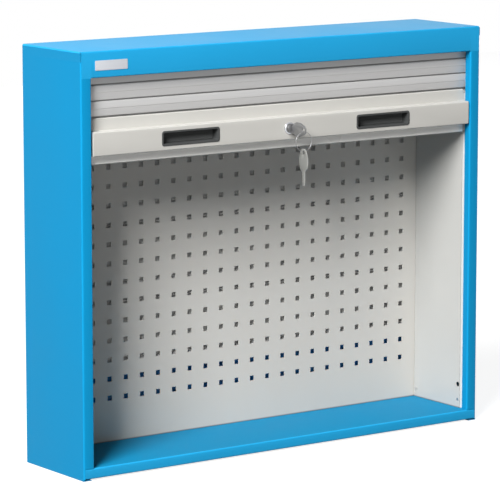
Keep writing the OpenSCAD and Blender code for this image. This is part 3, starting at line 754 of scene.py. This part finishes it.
lockBarrel = makePiece("lockBarrel", barrel, ["chrome", "lockSteel"], "shutter", ["lock_barrel"])
carve(lockBarrel, barrelBore)


def plug(bm):
    k = lock
    p = k["plug"] / 2
    face = -k["proud"] + 0.2
    profile = [(face, p - 0.5), (face + 0.15, p - 0.15), (face + 0.5, p), (k["back"] + 1, p)]
    lathe(bm, profile, (0, 0, rail["lock"]), steps=64)
    block(bm, (-k["tail"], k["back"], rail["lock"] - k["tail"]),
          (k["tail"], k["back"] + k["tailLength"], rail["lock"] + k["tail"]), 0.3)


def plugSlot(bm):
    k = lock
    block(bm, (-k["slotHalf"], -20, rail["lock"] - k["slotHeight"]),
          (k["slotHalf"], k["slotDepth"], rail["lock"] + k["slotHeight"]))


lockPlug = makePiece("lockPlug", plug, ["lockSteel"], "lock", ["lock_plug"])
carve(lockPlug, plugSlot)

# the teeth are places along the blade and how deep each is cut
keyShape = {"thick": 2, "bowLength": 44, "bowWidth": 27, "bladeLength": 28, "bladeWidth": 8, "hole": 8,
            "holeAt": 36.5, "tipCut": 1.6, "tipLength": 2, "shoulder": 1.5, "soft": 0.25,
            "teeth": [(-4, 0), (-6, 1.6), (-8, 0), (-10, 0), (-12.5, 2.4), (-15, 0.4), (-17.5, 2), (-20, 0),
                      (-22, 1.2)],
            "grooveEnd": 5, "grooveLow": 0.4, "grooveHigh": 1.9, "web": 0.55}


def keyOutline():
    k = keyShape
    half = k["bowWidth"] / 2
    b = k["bladeWidth"] / 2
    tip = -k["bladeLength"]
    end = k["bowLength"]
    neck = b + k["shoulder"]
    edge = [(0, b), (0, neck), (2, neck), (6, half - 2.5), (13, half), (end - 18, half),
            (end - 4, half - 5.5), (end, half - 9.5)]
    teeth = [(along, b - cut) for along, cut in k["teeth"]]
    nose = [(tip + k["tipLength"], b), (tip, b - k["tipCut"])]
    points = [(u, -v) for u, v in nose[::-1] + edge] + edge[::-1] + teeth + nose
    radii = [0, 0.3, 0.8, 1, 1.5, 1.5, 1, 1]
    return roundedPath(points, [0.4, 0.4] + radii + radii[::-1] + [0.3] * 11, closed=True, steps=3)


def keyPiece(name, toYZ, steel, body, node):
    # toYZ turns places along and across the key into y and z
    k = keyShape

    def build(bm):
        sweep(bm, [toYZ(*p) for p in keyOutline()], "x", -k["thick"] / 2, k["thick"] / 2)

    def cuts(bm):
        y, z = toYZ(k["holeAt"], 0)
        lathe(bm, [(-4, k["hole"] / 2), (4, k["hole"] / 2)], (0, y, z), "x", 40)
        a = toYZ(-k["bladeLength"] - 2, k["grooveLow"])
        b = toYZ(k["grooveEnd"], k["grooveHigh"])
        for sign in sides:
            low, high = sorted((sign * k["web"], sign * k["thick"]))
            block(bm, (low, min(a[0], b[0]), min(a[1], b[1])), (high, max(a[0], b[0]), max(a[1], b[1])))
    piece = makePiece(name, build, [steel], body, [node])
    carve(piece, cuts)
    softenEdges(piece, k["soft"])


keyStart = -lock["proud"] - 0.3
hang = {"y": keyStart - keyShape["holeAt"], "spare": 594.6, "top": 635.05, "ring": 37.5, "turns": 1.96,
        "steps": 150, "halfWide": 0.45, "halfThick": 0.33, "cross": 0.37, "crossRate": 9, "soft": 0.12}
# the key in the lock takes the darker copy of one steel, painted shade, and the spare key the lighter copy,
# painted light
keyPiece("keyInLock", lambda u, v: (keyStart - u, rail["lock"] + v), "keySteelPaintedShade", "key", "key")
keyPiece("keySpare", lambda u, v: (hang["y"] + v, hang["spare"] + u - keyShape["holeAt"]), "spareSteelPaintedLight",
         "spare_key", "spare_key")


def splitRing(bm):
    # two turns of flat wire, side by side, with stepped ends
    g = hang
    wide = g["halfWide"]
    thick = g["halfThick"]
    rings = []
    for k in range(g["steps"] + 1):
        t = 2 * math.pi * g["turns"] * k / g["steps"]
        step = math.tanh((k / g["steps"] - 0.5) * g["crossRate"]) * g["cross"]
        ring = []
        for a, b in ((-wide, -thick), (wide, -thick), (wide, thick), (-wide, thick)):
            r = g["ring"] / 2 + a
            place = (r * math.sin(t), g["y"] + step + b, g["top"] - g["ring"] / 2 - r * math.cos(t))
            ring.append(bm.verts.new(toFrame(*place)))
        rings.append(ring)
    bridge(bm, rings)


keyRing = makePiece("keyRing", splitRing, ["ringWire"], "key_ring", ["key_ring"])
softenEdges(keyRing, hang["soft"], 1)
print("lock and keys built")

light = {"room": 0.02, "floorHalf": 6, "floorLevel": -0.001, "floorGrey": 0.3, "floorBounce": 0.12,
         "floorGlow": 0.88, "aim": (0, 0, 0.4), "distance": 8.0}
softBoxes = {
    "keySoftBox": {"towards": (-1.56, -1.0, 1.4), "width": 2.8, "height": 4.6, "power": 1385},
    "frontSoftBox": {"towards": (-0.6, -1.0, 0.12), "width": 3.2, "height": 1.6, "power": 48},
    # these two light the rear and the right side, which the photograph's view doesn't show
    "rearSoftBox": {"towards": (0.12, 1.0, 0.03), "width": 2.4, "height": 1.2, "power": 400},
    "rightSoftBox": {"towards": (1.0, 0.12, 0.03), "width": 4.0, "height": 1.2, "power": 340},
}
half = light["floorHalf"]
level = light["floorLevel"]
floorMesh = bpy.data.meshes.new("studioFloor")
floorCorners = [(-half, -half, level), (half, -half, level), (half, half, level), (-half, half, level)]
floorMesh.from_pydata(floorCorners, [], [(0, 1, 2, 3)])
studioFloor = bpy.data.objects.new("studioFloor", floorMesh)
bpy.context.scene.collection.objects.link(studioFloor)


def softBox(name, box):
    lamp = bpy.data.lights.new(name, "AREA")
    lamp.shape = "RECTANGLE"
    lamp.size = box["width"]
    lamp.size_y = box["height"]
    lamp.energy = box["power"]
    holder = bpy.data.objects.new(name, lamp)
    bpy.context.scene.collection.objects.link(holder)
    towards = Vector(box["towards"]).normalized()
    holder.location = Vector(light["aim"]) + towards * light["distance"]
    holder.rotation_euler = (-towards).to_track_quat("-Z", "Y").to_euler()


for name, box in softBoxes.items():
    softBox(name, box)


def plainShader(tree, kind, grey, strength=None):
    shader = tree.nodes.new(kind)
    shader.inputs["Color"].default_value = (grey, grey, grey, 1)
    if strength is not None:
        shader.inputs["Strength"].default_value = strength
    return shader


def seenBy(tree, litBy, seenAs, output):
    # the camera, mirrors and glass meet seenAs, and all other light meets litBy
    rays = tree.nodes.new("ShaderNodeLightPath")
    first = tree.nodes.new("ShaderNodeMath")
    first.operation = "MAXIMUM"
    both = tree.nodes.new("ShaderNodeMath")
    both.operation = "MAXIMUM"
    link(tree, rays, "Is Camera Ray", first, 0)
    link(tree, rays, "Is Glossy Ray", first, 1)
    link(tree, first, "Value", both, 0)
    link(tree, rays, "Is Transmission Ray", both, 1)
    either = tree.nodes.new("ShaderNodeMixShader")
    link(tree, both, "Value", either, "Fac")
    link(tree, litBy, 0, either, 1)
    link(tree, seenAs, 0, either, 2)
    link(tree, either, 0, tree.nodes.new(output), "Surface")


def emptyTree(holder):
    holder.use_nodes = True
    holder.node_tree.nodes.clear()
    return holder.node_tree


paleFloor = bpy.data.materials.new("paleFloor")
tree = emptyTree(paleFloor)
shown = tree.nodes.new("ShaderNodeAddShader")  # glows a little under white, so that the shadow stays
link(tree, plainShader(tree, "ShaderNodeBsdfDiffuse", light["floorGrey"]), 0, shown, 0)
link(tree, plainShader(tree, "ShaderNodeEmission", 1, light["floorGlow"]), 0, shown, 1)
bounce = plainShader(tree, "ShaderNodeBsdfDiffuse", light["floorBounce"])
seenBy(tree, bounce, shown, "ShaderNodeOutputMaterial")
floorMesh.materials.append(paleFloor)

studioWorld = bpy.data.worlds.new("studioWorld")
bpy.context.scene.world = studioWorld
tree = emptyTree(studioWorld)
seenBy(tree, plainShader(tree, "ShaderNodeBackground", 1, light["room"]),
       plainShader(tree, "ShaderNodeBackground", 1, 1.0), "ShaderNodeOutputWorld")

# the focal length is in pixels of the picture
view = {"azimuth": 35.5653, "tilt": 9.1072, "focal": 3125.98, "at": (-3565.9, -4856.6, 1364.06),
        "picture": 500, "sensor": 36, "far": 100}
camera = bpy.data.cameras.new("photoCamera")
camera.sensor_width = view["sensor"]
camera.lens = view["focal"] / view["picture"] * view["sensor"]
camera.clip_end = view["far"]
cameraObject = bpy.data.objects.new("photoCamera", camera)
bpy.context.scene.collection.objects.link(cameraObject)
cameraObject.location = toFrame(*view["at"])
cameraObject.rotation_euler = (math.radians(90 - view["tilt"]), 0, -math.radians(view["azimuth"]))
bpy.context.scene.camera = cameraObject
bpy.context.scene.view_settings.view_transform = "Standard"
print("stage ready")
